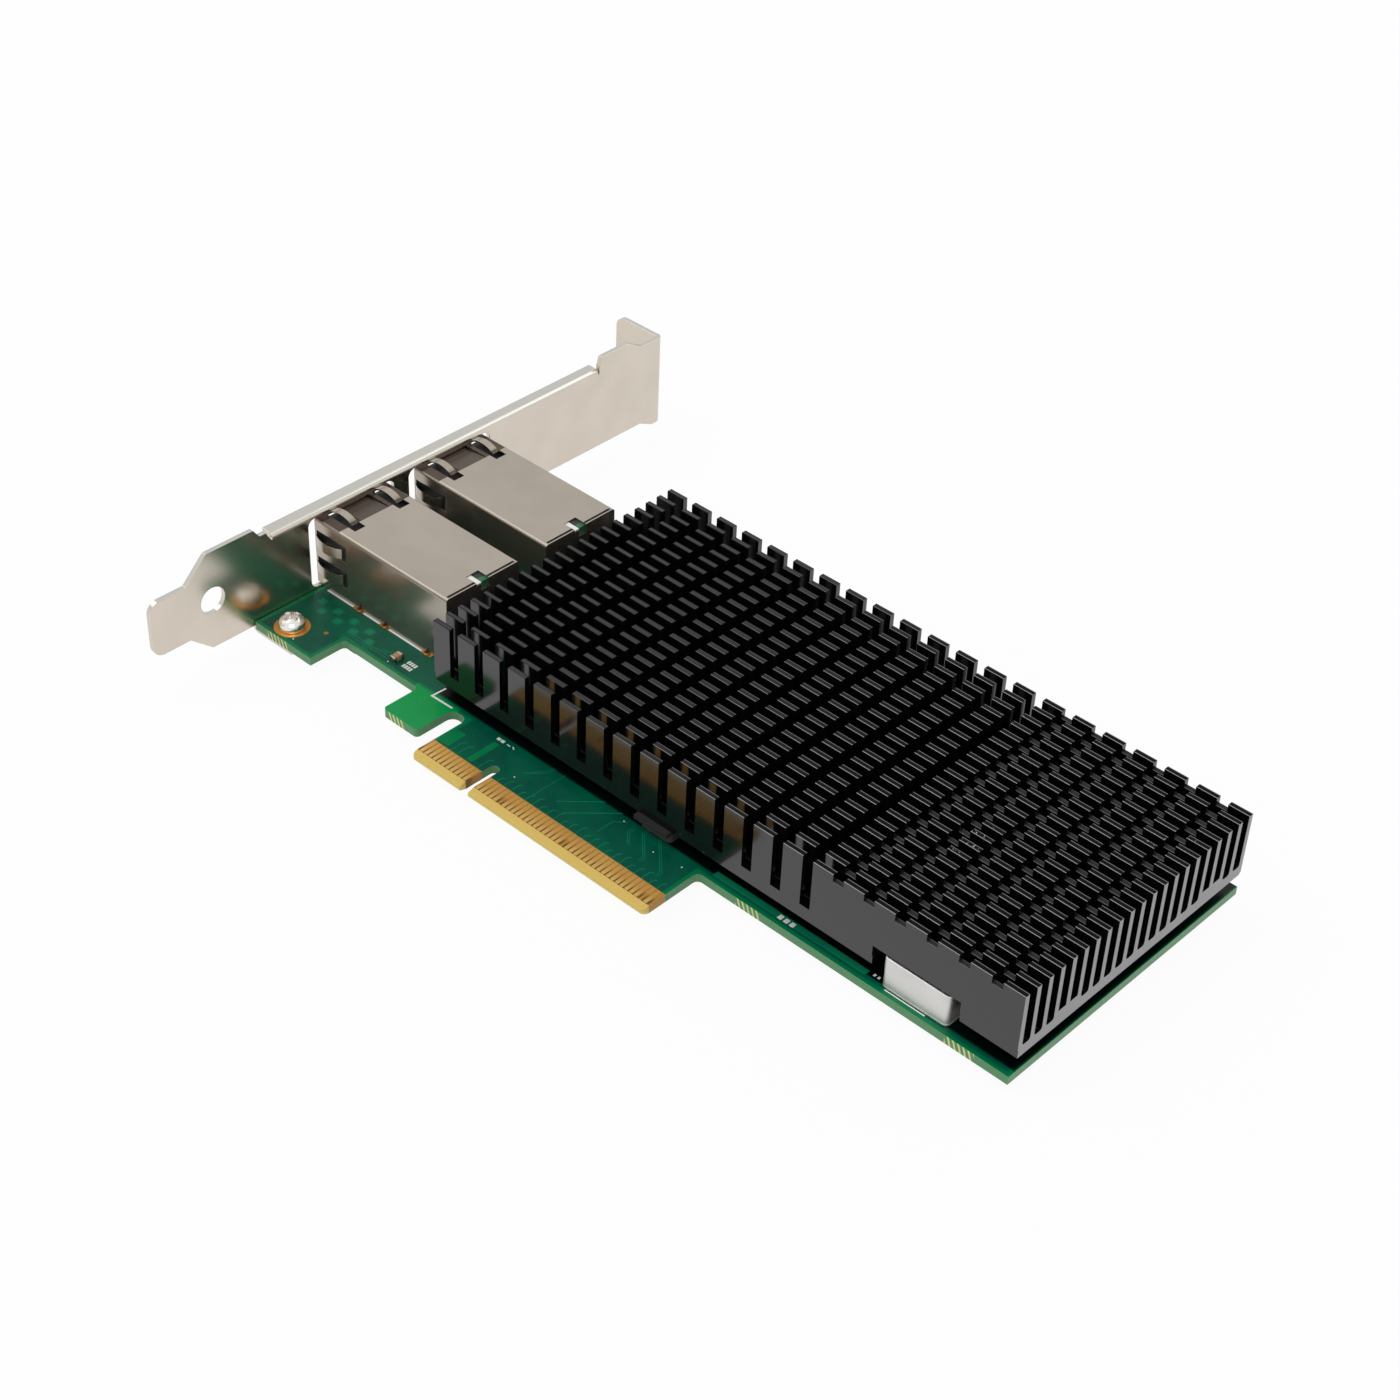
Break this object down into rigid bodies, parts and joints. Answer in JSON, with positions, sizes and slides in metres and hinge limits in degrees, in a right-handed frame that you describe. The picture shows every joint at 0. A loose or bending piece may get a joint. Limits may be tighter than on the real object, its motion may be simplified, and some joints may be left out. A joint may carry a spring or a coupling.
{
  "type": "network interface card",
  "caption": "Network interface card: stepped edge connector board, shielded jacks, folded slot bracket and a long cross cut finned heatsink.",
  "frame": {"origin": "on the contact edge at the centre of the key notch, on the board's component face", "axes": "+X along the board to its tail, +Y away from the contact edge, +Z out of the board's component face, towards the heatsink's fins"},
  "size_m": [0.1682, 0.1202, 0.0213],
  "materials": {
    "solder_mask": "dark green solder mask over glass fibre laminate, semi gloss",
    "gold_plate": "gold plating over copper",
    "bracket_steel": "nickel plated sheet steel, satin",
    "shield_plating": "tin nickel plated sheet, warm satin",
    "screw_plating": "bright nickel plating",
    "black_anodise": "black anodised extrusion, semi gloss",
    "spacer_metal": "nickel plated brass",
    "washer_fibre": "red fibre",
    "insulator_plastic": "moulded base",
    "crystal_metal": "drawn metal can, matt silver",
    "package_laminate": "package laminate",
    "lid_metal": "nickel plated lid, satin",
    "gap_pad": "grey filled silicone pad",
    "ferrite": "pressed ferrite",
    "chip_mould": "black moulding compound",
    "capacitor_ceramic": "tan ceramic with tinned ends",
    "resistor_body": "black glaze with tinned ends",
    "insert_plastic": "black moulded insert",
    "light_pipe": "clear moulded light pipe",
    "tin_plate": "tinned"
  },
  "bodies": {
    "root": {"circuit_board": "solder_mask", "contacts_component_side": "gold_plate", "contacts_solder_side": "gold_plate", "ground_pads": "gold_plate", "io_bracket": "bracket_steel", "bracket_screws": "screw_plating", "heatsink": "black_anodise", "heatsink_spacers": "spacer_metal", "heatsink_washers": "washer_fibre", "heatsink_screws": "screw_plating", "crystal_base": "insulator_plastic", "crystal_can": "crystal_metal", "controller_substrate": "package_laminate", "controller_lid": "lid_metal", "controller_thermal_pad": "gap_pad", "power_inductors": "ferrite", "power_thermal_pad": "gap_pad", "regulator_chips": "chip_mould", "flash_memory": "chip_mould", "ceramic_capacitors": "capacitor_ceramic", "chip_resistors": "resistor_body", "solder_side_capacitors": "capacitor_ceramic", "port_1_shield": "shield_plating", "port_1_housing": "insert_plastic", "port_1_contacts": "gold_plate", "port_1_light_pipes": "light_pipe", "port_1_inner_board": "solder_mask", "port_1_solder_pins": "tin_plate", "port_2_shield": "shield_plating", "port_2_housing": "insert_plastic", "port_2_contacts": "gold_plate", "port_2_light_pipes": "light_pipe", "port_2_inner_board": "solder_mask", "port_2_solder_pins": "tin_plate"}
  },
  "joints": []
}
